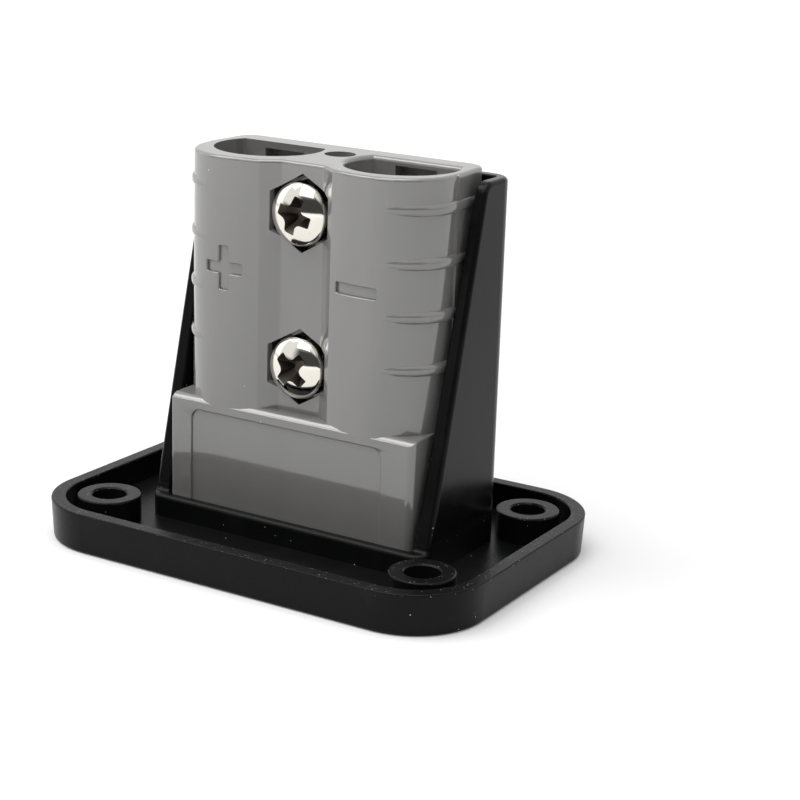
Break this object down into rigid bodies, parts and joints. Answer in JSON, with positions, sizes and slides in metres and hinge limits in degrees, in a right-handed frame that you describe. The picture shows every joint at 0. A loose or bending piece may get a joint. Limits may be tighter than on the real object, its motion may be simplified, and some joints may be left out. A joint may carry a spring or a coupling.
{
  "type": "battery quick connect plug",
  "caption": "Genderless battery connector housing with spring-backed blade contacts, screwed into a flush panel bracket with a rimmed front plate.",
  "frame": {"origin": "centre of the bracket's front face, which lies on the floor", "axes": "+X along the connector's width from the positive pole to the negative pole, +Y towards the bracket's back wall, +Z from the mating end to the cable end, square to the front plate"},
  "size_m": [0.0632, 0.0446, 0.0506],
  "materials": {
    "black_plastic": "semi-gloss moulded",
    "grey_plastic": "semi-gloss moulded",
    "plated_copper": "silver plated copper, satin",
    "spring_steel": "satin",
    "plated_steel": "bright nickel plated"
  },
  "bodies": {
    "root": {"panel_bracket": "black_plastic", "connector_housing": "grey_plastic", "positive_contact": "plated_copper", "negative_contact": "plated_copper", "positive_spring": "spring_steel", "negative_spring": "spring_steel", "upper_screw": "plated_steel", "lower_screw": "plated_steel", "upper_spring_washer": "spring_steel", "lower_spring_washer": "spring_steel", "upper_head_washer": "plated_steel", "lower_head_washer": "plated_steel", "upper_back_washer": "plated_steel", "lower_back_washer": "plated_steel", "upper_nut": "plated_steel", "lower_nut": "plated_steel"}
  },
  "joints": []
}
